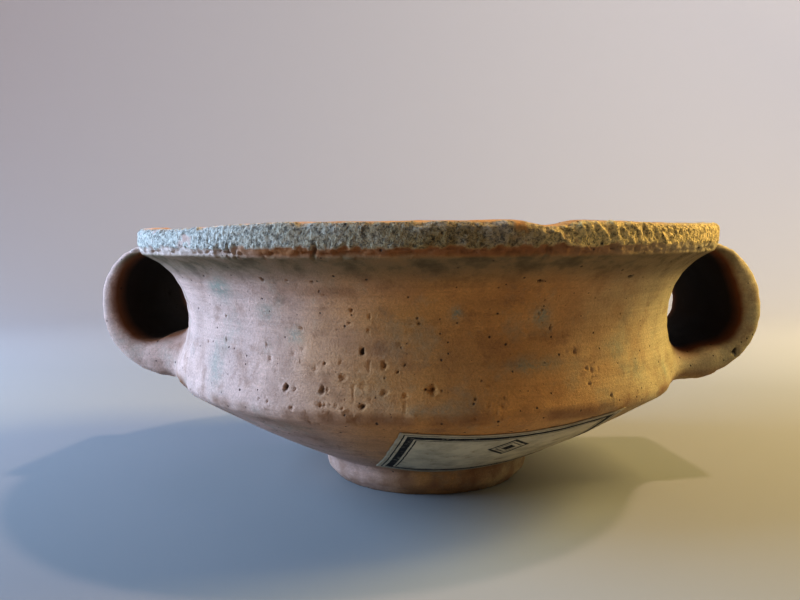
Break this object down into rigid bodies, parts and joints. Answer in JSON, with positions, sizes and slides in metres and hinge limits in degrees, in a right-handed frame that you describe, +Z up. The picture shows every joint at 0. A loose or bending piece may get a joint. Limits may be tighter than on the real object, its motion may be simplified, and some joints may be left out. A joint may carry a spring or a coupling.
{
  "type": "kylix cup",
  "caption": "Stemless kylix cup in worn fired clay: flat flaring lip, drawn-in wall above a shoulder ring, broad strap handles, low ring foot and a blank bordered paper label.",
  "frame": {"origin": "centre of the foot's resting ring, on the surface that the cup stands on", "axes": "+Z up along the cup's turning axis; +X towards one handle and -X towards the other; -Y towards the side that carries the label"},
  "size_m": [0.166, 0.14, 0.0628],
  "materials": {
    "fired_clay": "unglazed, worn and pitted, pinkish buff, with grey-green crust on the lip",
    "label_paper": "old rag paper, yellowed, with a plain ruled border"
  },
  "bodies": {
    "root": {"kylix_cup": "fired_clay", "paper_label": "label_paper"}
  },
  "joints": []
}
